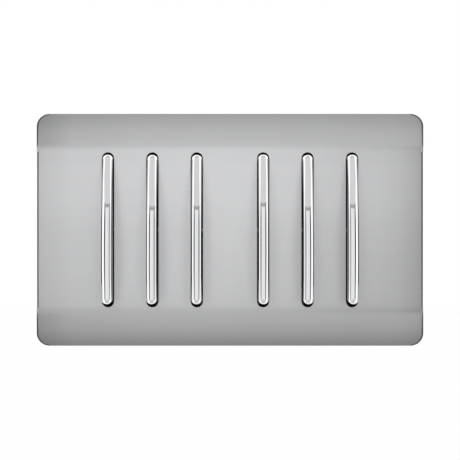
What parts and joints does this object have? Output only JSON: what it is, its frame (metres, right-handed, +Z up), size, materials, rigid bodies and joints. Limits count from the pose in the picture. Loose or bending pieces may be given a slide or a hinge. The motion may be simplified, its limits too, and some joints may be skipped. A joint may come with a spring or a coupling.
{
  "type": "rocker light switch",
  "caption": "Wide screwless brushed-steel wall plate with slim chrome rockers in side-by-side groups, over a pressed frame with clip-in changeover switch modules and wall-box screws.",
  "frame": {"origin": "the middle of the plate, on the wall plane (0.4 mm in front of where the fixing screws' threads are stated)", "axes": "+X along the plate, +Y into the wall, +Z up; the front faces -Y"},
  "size_m": [0.1506, 0.0393, 0.0904],
  "materials": {
    "brushed_steel_plate": "pressed stainless sheet, fine horizontal brushing",
    "chrome_rocker": "bright plated, polished",
    "black_moulding": "black moulded plastic",
    "grey_moulding": "grey moulded plastic",
    "zinc_plated_steel": "bright zinc plate on pressed steel",
    "screw_steel": "zinc-plated turned steel",
    "spring_steel": "drawn spring wire",
    "terminal_brass": "extruded and drilled brass",
    "contact_metal": "stamped contact strip",
    "white_nylon": "natural nylon"
  },
  "bodies": {
    "switch_body": {"faceplate": "brushed_steel_plate", "liner": "black_moulding", "mounting_frame": "zinc_plated_steel", "fixing_screws": "screw_steel", "earth_terminal": "terminal_brass", "earth_screw": "screw_steel", "pivot_pins": "screw_steel", "terminal_screws": "screw_steel", "common_terminal_1": "terminal_brass", "way_terminals_1": "terminal_brass", "housing_1": "black_moulding", "back_cover_1": "grey_moulding", "common_terminal_2": "terminal_brass", "way_terminals_2": "terminal_brass", "housing_2": "black_moulding", "back_cover_2": "grey_moulding", "common_terminal_3": "terminal_brass", "way_terminals_3": "terminal_brass", "housing_3": "black_moulding", "back_cover_3": "grey_moulding", "common_terminal_4": "terminal_brass", "way_terminals_4": "terminal_brass", "housing_4": "black_moulding", "back_cover_4": "grey_moulding", "common_terminal_5": "terminal_brass", "way_terminals_5": "terminal_brass", "housing_5": "black_moulding", "back_cover_5": "grey_moulding", "common_terminal_6": "terminal_brass", "way_terminals_6": "terminal_brass", "housing_6": "black_moulding", "back_cover_6": "grey_moulding"},
    "rocker_unit_1": {"rocker_1": "chrome_rocker", "spring_1": "spring_steel"},
    "plunger_unit_1": {"plunger_1": "white_nylon"},
    "lever_unit_1": {"contact_lever_1": "contact_metal"},
    "rocker_unit_2": {"rocker_2": "chrome_rocker", "spring_2": "spring_steel"},
    "plunger_unit_2": {"plunger_2": "white_nylon"},
    "lever_unit_2": {"contact_lever_2": "contact_metal"},
    "rocker_unit_3": {"rocker_3": "chrome_rocker", "spring_3": "spring_steel"},
    "plunger_unit_3": {"plunger_3": "white_nylon"},
    "lever_unit_3": {"contact_lever_3": "contact_metal"},
    "rocker_unit_4": {"rocker_4": "chrome_rocker", "spring_4": "spring_steel"},
    "plunger_unit_4": {"plunger_4": "white_nylon"},
    "lever_unit_4": {"contact_lever_4": "contact_metal"},
    "rocker_unit_5": {"rocker_5": "chrome_rocker", "spring_5": "spring_steel"},
    "plunger_unit_5": {"plunger_5": "white_nylon"},
    "lever_unit_5": {"contact_lever_5": "contact_metal"},
    "rocker_unit_6": {"rocker_6": "chrome_rocker", "spring_6": "spring_steel"},
    "plunger_unit_6": {"plunger_6": "white_nylon"},
    "lever_unit_6": {"contact_lever_6": "contact_metal"}
  },
  "joints": [
    {"name": "rocker_1_tilt", "type": "hinge", "parent": "switch_body", "child": "rocker_unit_1", "pos_m": [-0.04738, -0.0026, 0], "axis": [1, 0, 0], "range_deg": [0, 10.5]},
    {"name": "plunger_1_slide", "type": "slide", "parent": "rocker_unit_1", "child": "plunger_unit_1", "axis": [0, -0.9958, 0.0915], "range_m": [0, 0.0004], "stiffness_N_per_m": 200, "springref_m": -0.003},
    {"name": "lever_1_rock", "type": "hinge", "parent": "switch_body", "child": "lever_unit_1", "pos_m": [-0.04738, 0.0092, 0], "axis": [1, 0, 0], "range_deg": [-16, 0]},
    {"name": "rocker_2_tilt", "type": "hinge", "parent": "switch_body", "child": "rocker_unit_2", "pos_m": [-0.03012, -0.0026, 0], "axis": [1, 0, 0], "range_deg": [0, 10.5]},
    {"name": "plunger_2_slide", "type": "slide", "parent": "rocker_unit_2", "child": "plunger_unit_2", "axis": [0, -0.9958, 0.0915], "range_m": [0, 0.0004], "stiffness_N_per_m": 200, "springref_m": -0.003},
    {"name": "lever_2_rock", "type": "hinge", "parent": "switch_body", "child": "lever_unit_2", "pos_m": [-0.03012, 0.0092, 0], "axis": [1, 0, 0], "range_deg": [-16, 0]},
    {"name": "rocker_3_tilt", "type": "hinge", "parent": "switch_body", "child": "rocker_unit_3", "pos_m": [-0.01287, -0.0026, 0], "axis": [1, 0, 0], "range_deg": [0, 10.5]},
    {"name": "plunger_3_slide", "type": "slide", "parent": "rocker_unit_3", "child": "plunger_unit_3", "axis": [0, -0.9958, 0.0915], "range_m": [0, 0.0004], "stiffness_N_per_m": 200, "springref_m": -0.003},
    {"name": "lever_3_rock", "type": "hinge", "parent": "switch_body", "child": "lever_unit_3", "pos_m": [-0.01287, 0.0092, 0], "axis": [1, 0, 0], "range_deg": [-16, 0]},
    {"name": "rocker_4_tilt", "type": "hinge", "parent": "switch_body", "child": "rocker_unit_4", "pos_m": [0.01287, -0.0026, 0], "axis": [1, 0, 0], "range_deg": [0, 10.5]},
    {"name": "plunger_4_slide", "type": "slide", "parent": "rocker_unit_4", "child": "plunger_unit_4", "axis": [0, -0.9958, 0.0915], "range_m": [0, 0.0004], "stiffness_N_per_m": 200, "springref_m": -0.003},
    {"name": "lever_4_rock", "type": "hinge", "parent": "switch_body", "child": "lever_unit_4", "pos_m": [0.01287, 0.0092, 0], "axis": [1, 0, 0], "range_deg": [-16, 0]},
    {"name": "rocker_5_tilt", "type": "hinge", "parent": "switch_body", "child": "rocker_unit_5", "pos_m": [0.03012, -0.0026, 0], "axis": [1, 0, 0], "range_deg": [0, 10.5]},
    {"name": "plunger_5_slide", "type": "slide", "parent": "rocker_unit_5", "child": "plunger_unit_5", "axis": [0, -0.9958, 0.0915], "range_m": [0, 0.0004], "stiffness_N_per_m": 200, "springref_m": -0.003},
    {"name": "lever_5_rock", "type": "hinge", "parent": "switch_body", "child": "lever_unit_5", "pos_m": [0.03012, 0.0092, 0], "axis": [1, 0, 0], "range_deg": [-16, 0]},
    {"name": "rocker_6_tilt", "type": "hinge", "parent": "switch_body", "child": "rocker_unit_6", "pos_m": [0.04738, -0.0026, 0], "axis": [1, 0, 0], "range_deg": [0, 10.5]},
    {"name": "plunger_6_slide", "type": "slide", "parent": "rocker_unit_6", "child": "plunger_unit_6", "axis": [0, -0.9958, 0.0915], "range_m": [0, 0.0004], "stiffness_N_per_m": 200, "springref_m": -0.003},
    {"name": "lever_6_rock", "type": "hinge", "parent": "switch_body", "child": "lever_unit_6", "pos_m": [0.04738, 0.0092, 0], "axis": [1, 0, 0], "range_deg": [-16, 0]}
  ],
  "couplings": [
    {"joint": "lever_1_rock", "follows": "rocker_1_tilt", "ratio": -1.523},
    {"joint": "lever_2_rock", "follows": "rocker_2_tilt", "ratio": -1.523},
    {"joint": "lever_3_rock", "follows": "rocker_3_tilt", "ratio": -1.523},
    {"joint": "lever_4_rock", "follows": "rocker_4_tilt", "ratio": -1.523},
    {"joint": "lever_5_rock", "follows": "rocker_5_tilt", "ratio": -1.523},
    {"joint": "lever_6_rock", "follows": "rocker_6_tilt", "ratio": -1.523}
  ]
}
